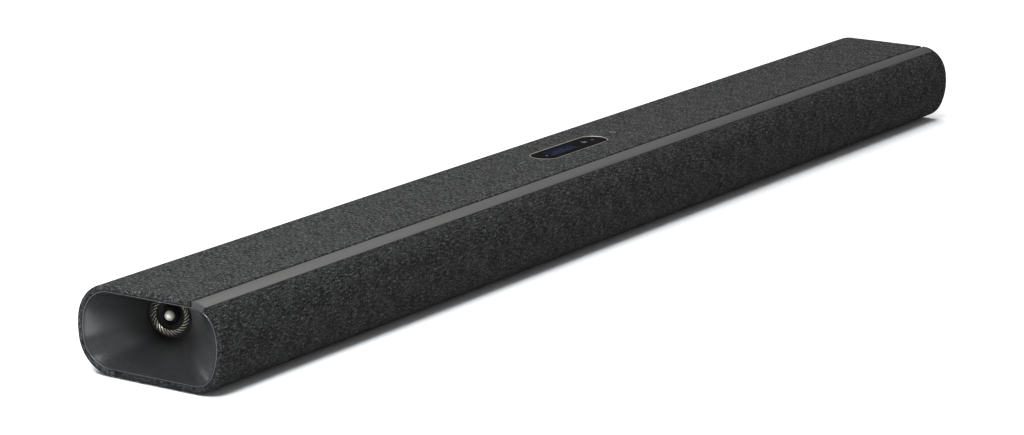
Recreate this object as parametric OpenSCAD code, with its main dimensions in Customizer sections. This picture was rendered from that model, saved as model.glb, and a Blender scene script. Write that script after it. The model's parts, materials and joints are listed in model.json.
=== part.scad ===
// Soundbar with a fabric cover, a metal trim strip, a display window on top and a horn in each end.
// X runs along the bar, the front faces -Y, +Z is up, and the origin is under the middle of the bar.

/* [Body] */
// Length of the bar from end to end
body_l = 1040; // [1030:5:1060]
// Depth from front to back
body_d = 125; // [124:0.5:128]
// Height of the fabric top above the surface the feet stand on
body_h = 65; // [64.5:0.5:67]
// Height of the rubber feet below the body
foot_h = 1.5; // [1:0.1:2]
// Thickness of the fabric on its backing
fabric_t = 1.2; // [1:0.1:1.3]
// Wall thickness of the moulded shells
shell_t = 2.8; // [2.4:0.1:3]

/* [Section corners] */
// Radius of the front bottom corner
front_bottom_r = 21; // [19:0.5:22]
// Radius of the front top corner, which the trim strip follows
front_top_r = 24; // [23:0.5:25]
// Radius of the bulging front side
front_side_r = 50; // [48:1:55]
// Radius of the rear bottom corner
rear_bottom_r = 27; // [25:0.5:28]
// Radius of the rear top corner
rear_top_r = 28; // [26:0.5:29]
// Radius of the bulging rear side
rear_side_r = 60; // [58:1:66]

/* [Trim strip] */
// Angle round the front top corner that the strip covers
strip_angle = 27.5; // [25:0.5:29]
// Width of the groove between the top fabric and the strip
groove_w = 1; // [0.8:0.1:1.4]

/* [Window and buttons] */
// Length of the display window over its rim
window_l = 93; // [88:1:96]
// Width of the display window over its rim
window_w = 25; // [22:0.5:26]
// Distance of the window behind the middle of the bar
window_y = 3.5; // [0:0.5:5]
// Distance of each volume button from the middle of the window
button_x = 64.5; // [62:0.5:68]
// Length of the bars of the plus and minus
glyph_l = 7; // [6:0.5:8]
// How far a volume button travels
button_travel = 0.6; // [0.4:0.1:0.7]

/* [Drivers] */
// Distance of the inner woofers from the middle
woofer_inner_x = 130; // [126:1:134]
// Distance of the outer woofers from the middle
woofer_outer_x = 330; // [326:1:350]
// Distance of the left and right front tweeters from the middle
tweeter_x = 222; // [218:1:226]
// Outer length of a racetrack woofer
woofer_l = 92; // [88:1:92]
// Outer width of a racetrack woofer
woofer_w = 44; // [42:0.5:44]
// Depth of each horn's throat from the end of the bar
horn_depth = 50; // [46:1:54]
// Angle that each horn tweeter is turned towards the front
horn_tilt = 16; // [10:1:20]

/* [Wall mount] */
// Distance between the two threaded inserts in the rear
insert_spacing = 600; // [580:10:620]
// Inside radius of the threaded inserts
insert_hole_r = 2.1; // [2:0.1:2.3]

/* [Hidden] */
$fn = 48;

end_x = body_l / 2;
gap = 0.1;
cut = 1;
wide = 120;

// Layers of the section, as distances in from the outer surface
shell_out = fabric_t + gap;
shell_in = shell_out + shell_t;
inner_line = shell_in + 0.4;
rim_w = 4.2;
mouth_in = 5.3;
strip_in = 0.3;

// Heights where the two sides bulge out the most
front_side_z = 35;
rear_side_z = 33;

// The front top corner's centre and the angles round it, counted from straight up
strip_c = [-corner_y(front_side_r, front_top_r, front_side_z, body_h - front_top_r), body_h - front_top_r];
strip_start = 0.3;
cover_edge = strip_angle + 2.5;
fabric_edge = strip_angle + 0.5;

// Ends of the middle housing, where the end shells begin
housing_x = end_x - 58;
seam_y = 30;
cover_rear_y = 34;
grille_low_y = -38.6;

// Flat base plate set into the bottom
base_l = 920;
base_front_y = -26;
base_rear_y = 24;
base_top_z = foot_h + 2.1;
feet_x = 390;
feet_y = [-18, 16];
base_screw_x = [150, 440];
base_screw_y = [-20, 18];

// Baffle and drivers
baffle_t = 3.5;
baffle_y = -47;
driver_z = 33.3;
woofer_x = [-woofer_outer_x, -woofer_inner_x, woofer_inner_x, woofer_outer_x];
tweeters_x = [-tweeter_x, 0, tweeter_x];
frame_band = 4;
cone_l = woofer_l - 18;
cone_w = woofer_w - 18;
coil_r = 9;
woofer_depth = 18;
dome_r = 12.5;

// Horn tweeters
throat_r = 16.8;
throat_y = 22;
throat_z = 34.5;
vanes = 28;
horn_dome_r = 10;

// Port bay in the rear
bay_x = 108;
bay_wall = 2.5;
bay_low = 9.5;
bay_high = 49;
bay_y = 36.5;
socket_y = bay_y + bay_wall + 0.6;
board_z = 11.5;
board_t = 1.6;
board_top = board_z + board_t;
insert_z = rear_side_z;

// Outlines of the sockets: x, width, height, depth of the body, opening width, opening height, depth
hdmi = [[40, 15.4, 6.2, 12.6, 14, 4.9, 10], [70, 15.4, 6.2, 12.6, 14, 4.9, 10]];
usb = [-52, 14.4, 7.1, 15, 12.6, 5.2, 12];
ethernet = [-20, 16, 13.4, 15, 12, 8.2, 12];
optical = [10, 10, 10, 12, 7.4, 7.4, 7];
inlet_x = -86;
inlet_z = 24;
inlet_l = 15;
inlet_w = 8.6;
inlet_deep = 16;

// Colours of the nodes
fabric_dark = [0.16, 0.16, 0.17];
plastic_black = [0.07, 0.07, 0.08];
plastic_grey = [0.2, 0.2, 0.21];
board_green = [0.06, 0.22, 0.13];
metal_grey = [0.45, 0.45, 0.46];
silver = [0.8, 0.79, 0.76];

// Points of an arc from angle a0 to a1, leaving out the first point when skip is 1
function arc(c, r, a0, a1, n, skip = 0) =
    [for (i = [skip:n]) let (a = a0 + (a1 - a0) * i / n) [c[0] + r * cos(a), c[1] + r * sin(a)]];

// Distance from the middle plane to the centre of a corner that is tangent to its bulging side
function corner_y(side_r, corner_r, side_z, corner_z) =
    body_d / 2 - side_r + sqrt(pow(side_r - corner_r, 2) - pow(side_z - corner_z, 2));

// One side of the section, bottom to top: a corner, the bulging side and a corner, all tangent
function side_line(bottom_r, top_r, side_r, side_z, inset) =
    let (side_y = body_d / 2 - side_r,
        low = [corner_y(side_r, bottom_r, side_z, foot_h + bottom_r), foot_h + bottom_r],
        high = [corner_y(side_r, top_r, side_z, body_h - top_r), body_h - top_r],
        a_low = -atan2(side_z - low[1], low[0] - side_y),
        a_high = atan2(high[1] - side_z, high[0] - side_y))
    concat(arc(low, bottom_r - inset, -90, a_low, 7),
        arc([side_y, side_z], side_r - inset, a_low, a_high, 6, 1),
        arc(high, top_r - inset, a_high, 90, 7, 1));

function front_line(inset) = side_line(front_bottom_r, front_top_r, front_side_r, front_side_z, inset);

// The whole outline of the body, moved in by inset, as [y, z] points
function section(inset) =
    let (front = front_line(inset))
    concat(side_line(rear_bottom_r, rear_top_r, rear_side_r, rear_side_z, inset),
        [for (i = [len(front) - 1:-1:0]) [-front[i][0], front[i][1]]]);

// A far point on the ray at angle a round the strip's corner
function strip_ray(a) = strip_c + wide * [-sin(a), cos(a)];

module along_x(x0, x1) {
    translate([x0, 0, 0])
        rotate([90, 0, 90])
            linear_extrude(x1 - x0)
                children();
}

// Flat outline of the body moved in by inset
module outline(inset) {
    polygon(section(inset));
}

module band(inset_a, inset_b) {
    difference() {
        outline(inset_a);
        outline(inset_b);
    }
}

// Area in front of the ray at angle a, and under the body as far back as y
module front_area(a, y) {
    polygon([strip_c, strip_ray(a), [-wide, strip_ray(a)[1]], [-wide, -wide], [y, -wide], [y, 30],
        [strip_c[0], 30]]);
}

module rear_area(top_y, bottom_y) {
    polygon([[top_y, 30], [top_y, wide], [wide, wide], [wide, -wide], [bottom_y, -wide], [bottom_y, 30]]);
}

module strip_area(a0, a1) {
    polygon([strip_c, strip_ray(a0), strip_ray(a1)]);
}

module stadium(l, w) {
    square([l - w, w], center = true);
    for (s = [-1, 1])
        translate([s * (l - w) / 2, 0])
            circle(w / 2);
}

module stadium_prism(l, w, z0, z1) {
    translate([0, 0, z0])
        linear_extrude(z1 - z0)
            stadium(l, w);
}

// A cone with a racetrack outline: radii r0 at z0 and r1 at z1, and straight sides of half length a0 and a1
module racetrack_cone(r0, r1, run, z0, z1) {
    translate([0, 0, z0]) {
        for (s = [-1, 1])
            translate([s * run, 0, 0])
                cylinder(h = z1 - z0, r1 = r0, r2 = r1);
        rotate([90, 0, 90])
            translate([0, 0, -run])
                linear_extrude(2 * run)
                    polygon([[-r0, 0], [r0, 0], [r1, z1 - z0], [-r1, z1 - z0]]);
    }
}

module box(x0, x1, y0, y1, z0, z1) {
    translate([x0, y0, z0])
        cube([x1 - x0, y1 - y0, z1 - z0]);
}

// Draws its children for the left end, and mirrored for the right end when s is 1
module at_end(s) {
    mirror([s > 0 ? 1 : 0, 0, 0])
        children();
}

// A cylinder along Y from y0 to y1
module rod_y(r, x, z, y0, y1) {
    translate([x, y1, z])
        rotate([90, 0, 0])
            cylinder(h = y1 - y0, r = r);
}

// Local frame of a front driver: z points out of the front, and z = 0 is the back face of the baffle
module at_driver(x) {
    translate([x, baffle_y, driver_z])
        rotate([90, 0, 0])
            children();
}

// Local frame of the left horn's tweeter: z points out of the throat along the tilted axis
module at_throat() {
    translate([-end_x + horn_depth, throat_y, throat_z])
        rotate([0, 0, horn_tilt])
            rotate([0, -90, 0])
                children();
}

// ---- Outside ----

module fabric_openings() {
    box(-base_l / 2 - 1.5, base_l / 2 + 1.5, base_front_y - 1.5, base_rear_y + 1.5, -cut, 10);
}

module fabric_rims() {
    for (s = [-1, 1])
        at_end(s)
            along_x(-end_x, -end_x + fabric_t)
                band(fabric_t / 2, rim_w);
}

module glyph_bars(plus, l, w) {
    square([l, w], center = true);
    if (plus)
        square([w, l], center = true);
}

module button_place(s) {
    translate([s * button_x, window_y + 0.5, 0])
        children();
}

module top_fabric() {
    color(fabric_dark)
        difference() {
            intersection() {
                union() {
                    along_x(-end_x, end_x)
                        band(0, fabric_t);
                    fabric_rims();
                }
                along_x(-end_x - cut, end_x + cut)
                    rear_area(strip_c[0] + groove_w, seam_y + 0.6);
            }
            fabric_openings();
            translate([0, window_y, 0])
                stadium_prism(window_l + 0.4, window_w + 0.4, body_h - 6, body_h + cut);
            for (s = [-1, 1])
                button_place(s)
                    translate([0, 0, body_h - 6])
                        linear_extrude(10)
                            glyph_bars(s > 0, glyph_l + 0.8, 2.6);
            box(-bay_x - 0.3, bay_x + 0.3, 45, 70, bay_low - 0.3, bay_high + 0.3);
            for (s = [-1, 1])
                rod_y(7, s * insert_spacing / 2, insert_z, 50, 70);
        }
}

module front_fabric() {
    color(fabric_dark)
        difference() {
            intersection() {
                union() {
                    along_x(-end_x, end_x)
                        band(0, fabric_t);
                    fabric_rims();
                }
                along_x(-end_x - cut, end_x + cut)
                    front_area(fabric_edge, seam_y);
            }
            fabric_openings();
        }
}

module trim_strip() {
    color([0.42, 0.42, 0.43])
        along_x(-end_x + 2.5, end_x - 2.5)
            intersection() {
                band(strip_in, fabric_t);
                strip_area(strip_start, strip_angle);
            }
}

module top_cover() {
    color(plastic_black)
        difference() {
            along_x(-housing_x, housing_x)
                intersection() {
                    band(shell_out, shell_in);
                    polygon([strip_c, strip_ray(cover_edge), [cover_rear_y, wide], [cover_rear_y, 41]]);
                }
            translate([0, window_y, 0])
                stadium_prism(window_l + 0.4, window_w + 0.4, body_h - 10, body_h);
            for (s = [-1, 1])
                button_place(s)
                    cylinder(h = 2 * body_h, r = 4.6);
        }
}

module insert_boss(s) {
    rod_y(6.8, s * insert_spacing / 2, insert_z, 47, body_d / 2 - 0.2);
}

module rear_housing() {
    color(plastic_black)
        difference() {
            union() {
                along_x(-housing_x, housing_x)
                    intersection() {
                        band(shell_out, shell_in);
                        rear_area(cover_rear_y + 0.2, grille_low_y);
                    }
                for (s = [-1, 1])
                    insert_boss(s);
                for (x = base_screw_x, s = [-1, 1], y = base_screw_y)
                    translate([s * x, y, shell_in])
                        cylinder(h = 9.5 - shell_in, r = 3.6);
                for (x = [-234, -131, -94, 94], y = [-2, 31])
                    translate([x, y, shell_in])
                        cylinder(h = board_z - shell_in, r = 2.5);
            }
            for (s = [-1, 1])
                rod_y(4, s * insert_spacing / 2, insert_z, 50, 70);
            for (x = base_screw_x, s = [-1, 1], y = base_screw_y)
                translate([s * x, y, 0])
                    cylinder(h = 9, r = 1.5);
            box(-base_l / 2 - 0.2, base_l / 2 + 0.2, base_front_y - 0.2, base_rear_y + 0.2, -cut,
                base_top_z + gap);
            box(-bay_x - 0.2, bay_x + 0.2, 45, 70, bay_low - 0.2, bay_high + 0.2);
        }
}

module base_plate() {
    color(plastic_black)
        difference() {
            box(-base_l / 2, base_l / 2, base_front_y, base_rear_y, foot_h, base_top_z);
            for (s = [-1, 1], y = feet_y)
                translate([s * feet_x, y, 0])
                    stadium_prism(70.4, 9.4, -cut, foot_h + 0.7);
            for (x = base_screw_x, s = [-1, 1], y = base_screw_y)
                translate([s * x, y, 0]) {
                    cylinder(h = 10, r = 1.6);
                    cylinder(h = foot_h + 1.2, r = 3);
                }
        }
}

module front_grille() {
    slots = 30;
    pitch = 30;
    color(plastic_grey)
        difference() {
            along_x(-housing_x, housing_x)
                intersection() {
                    band(shell_out, shell_in - 0.2);
                    front_area(cover_edge + 0.5, grille_low_y - 0.2);
                }
            for (i = [0:slots - 1])
                translate([(i - (slots - 1) / 2) * pitch - 13, -body_d, 13])
                    cube([26, body_d, 40]);
        }
}

module front_baffle() {
    color(plastic_black)
        difference() {
            along_x(-housing_x + 1, housing_x - 1)
                intersection() {
                    outline(inner_line);
                    translate([baffle_y - baffle_t, 0])
                        square([baffle_t, body_h]);
                }
            for (x = woofer_x)
                at_driver(x)
                    stadium_prism(woofer_l - 6, woofer_w - 6, -cut, 10);
            for (x = tweeters_x)
                at_driver(x)
                    translate([0, 0, -cut])
                        cylinder(h = 10, r = 17);
        }
}

// ---- Ends ----

module end_shell() {
    color(plastic_black) {
        along_x(-end_x + fabric_t + gap, -housing_x - 0.2)
            band(shell_out, shell_in);
        along_x(-end_x, -end_x + 2.3)
            intersection() {
                band(strip_in, shell_in);
                strip_area(strip_start, strip_angle);
            }
    }
}

module left_end_shell() {
    end_shell();
}

module right_end_shell() {
    at_end(1)
        end_shell();
}

// Flared horn: its mouth follows the body's section and its round throat holds the tweeter
module horn() {
    color(plastic_grey)
        difference() {
            hull() {
                along_x(-end_x + 0.2, -end_x + 2.5)
                    outline(shell_in + 0.2);
                at_throat()
                    translate([0, 0, -6.4])
                        cylinder(h = 6.4, r = throat_r + 2.5);
            }
            hull() {
                along_x(-end_x - 0.2, -end_x + 0.2)
                    outline(mouth_in);
                at_throat()
                    cylinder(h = 0.2, r = throat_r + 0.8);
            }
            at_throat()
                translate([0, 0, -10])
                    cylinder(h = 10.1, r = throat_r);
        }
}

module left_horn() {
    horn();
}

module right_horn() {
    at_end(1)
        horn();
}

// Dished plate with slanted vanes round it and slots between them
module vane_ring() {
    color(plastic_black)
        at_throat()
            difference() {
                union() {
                    translate([0, 0, -3])
                        cylinder(h = 3, r = throat_r - 0.3);
                    for (i = [0:vanes - 1])
                        rotate(i * 360 / vanes)
                            translate([9.6, 0, -0.2])
                                rotate(28)
                                    cube([4.6, 0.7, 1.7]);
                }
                translate([0, 0, -3 - cut])
                    cylinder(h = 10, r = 1.6);
                translate([0, 0, -1.9])
                    cylinder(h = 10, r1 = 5.2, r2 = 6);
                for (i = [0:vanes - 1])
                    rotate((i + 0.5) * 360 / vanes)
                        translate([10.6, 0, -3 - cut])
                            rotate(28)
                                cube([3.6, 0.8, 10]);
            }
}

module left_vane_ring() {
    vane_ring();
}

module right_vane_ring() {
    at_end(1)
        vane_ring();
}

module phase_plug() {
    color(silver)
        at_throat() {
            translate([0, 0, 2.8])
                sphere(r = 4.3);
            translate([0, 0, -2.9])
                cylinder(h = 3.5, r = 1.5);
        }
}

module left_phase_plug() {
    phase_plug();
}

module right_phase_plug() {
    at_end(1)
        phase_plug();
}

// A thin dome of radius r and height rise, with the coil former that carries it, crown at z = top
module dome(r, rise, top, former) {
    ball = (r * r + rise * rise) / (2 * rise);
    intersection() {
        translate([0, 0, top - ball])
            difference() {
                sphere(r = ball, $fn = 96);
                sphere(r = ball - 0.5, $fn = 96);
            }
        translate([0, 0, top - rise])
            cylinder(h = 2 * rise, r = r);
    }
    translate([0, 0, top - rise - former])
        difference() {
            cylinder(h = former + 0.4, r = r);
            translate([0, 0, -cut])
                cylinder(h = former + 10, r = r - 0.5);
        }
}

// A magnet assembly with the ring-shaped gap that a coil former moves in
module magnet(r, h, former_r, deep) {
    difference() {
        cylinder(h = h, r = r);
        translate([0, 0, h - deep])
            difference() {
                cylinder(h = deep + cut, r = former_r + 0.5);
                translate([0, 0, -cut])
                    cylinder(h = deep + 3 * cut, r = former_r - 1);
            }
    }
}

module horn_dome() {
    color([0.75, 0.74, 0.7])
        at_throat()
            dome(horn_dome_r, 2.2, -3.6, 4);
}

module left_horn_dome() {
    horn_dome();
}

module right_horn_dome() {
    at_end(1)
        horn_dome();
}

module horn_magnets() {
    color(metal_grey)
        for (s = [-1, 1])
            at_end(s)
                at_throat()
                    translate([0, 0, -20])
                        magnet(17.5, 13.5, horn_dome_r, 5);
}

// ---- Window and controls ----

module window_bezel() {
    color([0.72, 0.68, 0.6])
        translate([0, window_y, 0])
            difference() {
                union() {
                    stadium_prism(window_l, window_w, body_h - 6, body_h);
                    stadium_prism(window_l + 6, window_w + 6, body_h - 6, body_h - shell_in - 0.1);
                }
                stadium_prism(window_l - 2.4, window_w - 2.4, body_h - 2.5, body_h + cut);
                stadium_prism(window_l - 7, window_w - 7, body_h - 10, body_h);
            }
}

module window_lens() {
    color([0.02, 0.02, 0.03])
        translate([0, window_y, 0])
            stadium_prism(window_l - 2.8, window_w - 2.8, body_h - 2.4, body_h - 0.3);
}

module display_panel() {
    color([0.1, 0.12, 0.2])
        box(-34, 14, window_y - 7.5, window_y + 7.5, body_h - 5.4, body_h - 3);
}

module control_board() {
    color(board_green)
        box(-74, 74, window_y - 15, window_y + 15, body_h - 10.8, body_h - 9.2);
}

module tact_switches() {
    color(metal_grey)
        for (s = [-1, 1])
            button_place(s) {
                translate([-3, -3, body_h - 9.2])
                    cube([6, 6, 2]);
                translate([0, 0, body_h - 7.3])
                    cylinder(h = 0.7, r = 1.5);
            }
}

module volume_button(plus) {
    color(plastic_black)
        button_place(plus ? 1 : -1) {
            translate([0, 0, body_h - 5])
                linear_extrude(5.35)
                    glyph_bars(plus, glyph_l, 1.8);
            translate([0, 0, body_h - 5.2])
                cylinder(h = 0.8, r = 4.3);
            translate([0, 0, body_h - 5.8])
                cylinder(h = 1, r = 1.4);
        }
}

module volume_down_button() {
    volume_button(false);
}

module volume_up_button() {
    volume_button(true);
}

// ---- Rear ports and fixings ----

// Body of a socket standing on the main board, with its opening towards the rear
module socket(s) {
    x = s[0];
    mid_z = board_top + gap + s[2] / 2;
    difference() {
        box(x - s[1] / 2, x + s[1] / 2, socket_y - s[3], socket_y, mid_z - s[2] / 2, mid_z + s[2] / 2);
        box(x - s[4] / 2, x + s[4] / 2, socket_y - s[6], socket_y + cut, mid_z - s[5] / 2, mid_z + s[5] / 2);
    }
}

module socket_window(s) {
    box(s[0] - s[1] / 2 - 0.25, s[0] + s[1] / 2 + 0.25, bay_y - cut, bay_y + bay_wall + cut,
        board_top + gap - 0.25, board_top + gap + s[2] + 0.25);
}

// Frame of the rear bay, open towards the rear and closed at its inner end by the socket plate
module port_bay() {
    color(plastic_black)
        difference() {
            intersection() {
                box(-bay_x, bay_x, bay_y, 70, bay_low, bay_high);
                along_x(-bay_x - cut, bay_x + cut)
                    outline(0.4);
            }
            box(-bay_x + bay_wall, bay_x - bay_wall, bay_y - cut, 80, bay_low + bay_wall,
                bay_high - bay_wall);
        }
}

module socket_plate() {
    edge = bay_wall + gap;
    color(plastic_black)
        difference() {
            box(-bay_x + edge, bay_x - edge, bay_y, bay_y + bay_wall, bay_low + edge, bay_high - edge);
            for (s = [hdmi[0], hdmi[1], usb, ethernet, optical])
                socket_window(s);
            translate([inlet_x, 0, inlet_z])
                rotate([90, 0, 0])
                    stadium_prism(inlet_l + 4.5, inlet_w + 4.5, -50, 0);
        }
}

module hdmi_sockets() {
    color(metal_grey)
        for (s = hdmi)
            socket(s);
}

module optical_socket() {
    color(plastic_black)
        socket(optical);
}

module ethernet_socket() {
    color(metal_grey)
        socket(ethernet);
}

module usb_socket() {
    color(metal_grey)
        socket(usb);
}

module mains_inlet() {
    color(plastic_black)
        translate([inlet_x, socket_y, inlet_z])
            rotate([90, 0, 0])
                difference() {
                    stadium_prism(inlet_l + 4, inlet_w + 4, 0, inlet_deep + 2.5);
                    stadium_prism(inlet_l, inlet_w, -cut, inlet_deep);
                    for (s = [-1, 1])
                        translate([s * 4.3, 0, inlet_deep - cut])
                            cylinder(h = 10, r = 1.25);
                }
}

module mains_pins() {
    color(silver)
        translate([inlet_x, socket_y, inlet_z])
            rotate([90, 0, 0])
                for (s = [-1, 1])
                    translate([s * 4.3, 0, 5])
                        cylinder(h = inlet_deep + 1, r = 1.2);
}

module rubber_feet() {
    color([0.05, 0.05, 0.05])
        for (s = [-1, 1], y = feet_y)
            translate([s * feet_x, y, 0])
                stadium_prism(70, 9, 0, foot_h + 0.6);
}

module wall_mount_inserts() {
    color([0.78, 0.62, 0.3])
        for (s = [-1, 1])
            difference() {
                rod_y(3.95, s * insert_spacing / 2, insert_z, body_d / 2 - 10.2, body_d / 2 - 0.2);
                rod_y(insert_hole_r, s * insert_spacing / 2, insert_z, 45, 70);
            }
}

module base_screws() {
    color(metal_grey)
        for (x = base_screw_x, s = [-1, 1], y = base_screw_y)
            translate([s * x, y, 0]) {
                translate([0, 0, foot_h + 0.1])
                    difference() {
                        cylinder(h = 1.1, r = 2.8);
                        for (a = [0, 90])
                            rotate(a)
                                translate([-1.6, -0.35, -cut])
                                    cube([3.2, 0.7, 0.6 + cut]);
                    }
                translate([0, 0, foot_h + 1])
                    cylinder(h = 7.4 - foot_h, r = 1.4);
            }
}

// ---- Drivers ----

module driver_gaskets() {
    color([0.12, 0.12, 0.12]) {
        for (x = woofer_x)
            at_driver(x)
                difference() {
                    stadium_prism(woofer_l, woofer_w, -1, 0);
                    stadium_prism(woofer_l - 5.4, woofer_w - 5.4, -2, 1);
                }
        for (x = tweeters_x)
            at_driver(x)
                translate([0, 0, -1])
                    difference() {
                        cylinder(h = 1, r = 21);
                        translate([0, 0, -cut])
                            cylinder(h = 3, r = 17.2);
                    }
    }
}

// Half the length of a woofer's straight sides
function run(l, w) = (l - w) / 2;

module woofer_basket() {
    straight = run(woofer_l, woofer_w);
    difference() {
        union() {
            stadium_prism(woofer_l, woofer_w, -3, -1);
            racetrack_cone(17, woofer_w / 2 - 1.6, straight - 4, -woofer_depth, -3);
        }
        racetrack_cone(14.5, woofer_w / 2 - 4, straight - 4, -woofer_depth + 1.8, -2.9);
        stadium_prism(woofer_l - 2 * frame_band, woofer_w - 2 * frame_band, -3.2, 0);
        translate([0, 0, -woofer_depth - cut])
            cylinder(h = 10, r = coil_r + 1.5);
        for (s = [-1, 1])
            translate([s * 26, 0, -11])
                cube([20, 60, 7], center = true);
    }
}

module woofer_baskets() {
    color(plastic_grey)
        for (x = woofer_x)
            at_driver(x)
                woofer_basket();
}

module woofer_magnets() {
    color(metal_grey)
        for (x = woofer_x)
            at_driver(x)
                translate([0, 0, -woofer_depth - 15])
                    magnet(18, 15, coil_r, 11);
}

// Rubber roll between the cone and the basket, 0.4 mm clear of the cone
module woofer_surround() {
    inner_l = cone_l + 0.8;
    inner_w = cone_w + 0.8;
    difference() {
        stadium_prism(inner_l + 8.4, inner_w + 8.4, -1, -0.2);
        stadium_prism(inner_l, inner_w, -2, 1);
    }
    difference() {
        stadium_prism(inner_l + 6, inner_w + 6, -0.4, 1);
        stadium_prism(inner_l + 2.4, inner_w + 2.4, -2, 2);
    }
}

module woofer_surrounds() {
    color([0.08, 0.08, 0.08])
        for (x = woofer_x)
            at_driver(x)
                woofer_surround();
}

module woofer_cone(x) {
    straight = run(cone_l, cone_w);
    color([0.25, 0.25, 0.26])
        at_driver(x) {
            difference() {
                racetrack_cone(4, cone_w / 2, straight, -10, -1);
                racetrack_cone(3.2, cone_w / 2 - 0.8, straight, -9.2, -0.9);
                translate([0, 0, -12])
                    cylinder(h = 10, r = coil_r - 0.6);
            }
            translate([0, 0, -24])
                difference() {
                    cylinder(h = 17, r = coil_r);
                    translate([0, 0, -cut])
                        cylinder(h = 20, r = coil_r - 0.6);
                }
            translate([0, 0, -7.5])
                cylinder(h = 0.8, r = coil_r);
        }
}

module left_outer_cone() {
    woofer_cone(woofer_x[0]);
}

module left_inner_cone() {
    woofer_cone(woofer_x[1]);
}

module right_inner_cone() {
    woofer_cone(woofer_x[2]);
}

module right_outer_cone() {
    woofer_cone(woofer_x[3]);
}

module tweeter_frames() {
    color(plastic_grey)
        for (x = tweeters_x)
            at_driver(x)
                translate([0, 0, -4])
                    difference() {
                        cylinder(h = 3, r = 21);
                        translate([0, 0, -cut])
                            cylinder(h = 10, r = dome_r + 0.6);
                    }
}

module tweeter_magnets() {
    color(metal_grey)
        for (x = tweeters_x)
            at_driver(x)
                translate([0, 0, -17])
                    magnet(17, 12.9, dome_r, 7);
}

module tweeter_dome(x) {
    color([0.7, 0.69, 0.66])
        at_driver(x)
            dome(dome_r, 4.5, 1.5, 5);
}

module left_tweeter_dome() {
    tweeter_dome(tweeters_x[0]);
}

module centre_tweeter_dome() {
    tweeter_dome(tweeters_x[1]);
}

module right_tweeter_dome() {
    tweeter_dome(tweeters_x[2]);
}

// ---- Inside ----

loom_y = 30;
loom_z = 51.5;

module bulkheads() {
    color(plastic_grey)
        for (x = [-425, -250, 250, 425])
            difference() {
                along_x(x - 1.2, x + 1.2)
                    intersection() {
                        outline(inner_line);
                        translate([baffle_y + 0.2, 0])
                            square([body_d, body_h]);
                    }
                translate([x - 5, loom_y, loom_z])
                    rotate([0, 90, 0])
                        cylinder(h = 10, r = 2.6);
            }
}

module main_board() {
    color(board_green)
        box(-100, 100, -8, bay_y - 0.3, board_z, board_top);
}

module board_chips() {
    color([0.1, 0.1, 0.1]) {
        for (p = [[-70, 4, 16], [-30, 2, 20], [-2, 14, 12]])
            translate([p[0] - p[2] / 2, p[1] - p[2] / 2, board_top])
                cube([p[2], p[2], 1.4]);
    }
}

module amplifier_heatsink() {
    fins = 9;
    color(metal_grey) {
        box(24, 92, -6, 18, board_top + 0.05, board_top + 3);
        for (i = [0:fins - 1])
            translate([24 + i * 8.25, -6, board_top + 2])
                cube([2, 24, 16]);
    }
}

module power_board() {
    color(board_green)
        box(-240, -125, -8, bay_y - 0.3, board_z, board_top);
}

module mains_transformer() {
    color([0.75, 0.65, 0.25]) {
        box(-212, -184, 0, 28, board_top + 0.05, board_top + 8);
        box(-208, -188, 4, 24, board_top + 7, board_top + 20);
        box(-212, -184, 0, 28, board_top + 19, board_top + 26);
    }
}

module filter_capacitors() {
    color([0.12, 0.14, 0.3])
        for (p = [[-172, 2], [-172, 22], [-148, 2], [-148, 22]])
            translate([p[0], p[1], board_top + 0.05])
                cylinder(h = 26, r = 8);
}

module wireless_module() {
    color(metal_grey)
        box(-98, -80, -5, 8, board_top + 0.05, board_top + 2.5);
}

// Wires held along the inside: a trunk above the boards and a branch to each driver
module wiring_loom() {
    color([0.1, 0.1, 0.1]) {
        translate([-440, loom_y, loom_z])
            rotate([0, 90, 0])
                cylinder(h = 880, r = 2);
        for (x = woofer_x)
            rod_y(1.5, x, loom_z, baffle_y + woofer_depth + 15.2, loom_y);
        for (x = tweeters_x)
            rod_y(1.2, x, loom_z, baffle_y + 18, loom_y);
        for (x = [-6, -135])
            translate([x, loom_y, board_top + 0.1])
                cylinder(h = loom_z - board_top, r = 1.6);
    }
}

top_fabric();
front_fabric();
trim_strip();
top_cover();
rear_housing();
base_plate();
front_grille();
front_baffle();
left_end_shell();
right_end_shell();
left_horn();
right_horn();
left_vane_ring();
right_vane_ring();
left_phase_plug();
right_phase_plug();
left_horn_dome();
right_horn_dome();
horn_magnets();
window_bezel();
window_lens();
display_panel();
control_board();
tact_switches();
volume_down_button();
volume_up_button();
port_bay();
socket_plate();
hdmi_sockets();
optical_socket();
ethernet_socket();
usb_socket();
mains_inlet();
mains_pins();
rubber_feet();
wall_mount_inserts();
base_screws();
driver_gaskets();
woofer_baskets();
woofer_magnets();
woofer_surrounds();
left_outer_cone();
left_inner_cone();
right_inner_cone();
right_outer_cone();
tweeter_frames();
tweeter_magnets();
left_tweeter_dome();
centre_tweeter_dome();
right_tweeter_dome();
bulkheads();
main_board();
board_chips();
amplifier_heatsink();
power_board();
mains_transformer();
filter_capacitors();
wireless_module();
wiring_loom();
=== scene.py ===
"""Soundbar with a charcoal fabric cover, a metal trim strip, a display window and a horn in each end."""
import json
import math

import bmesh
import bpy
from mathutils import Matrix, Vector


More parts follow.
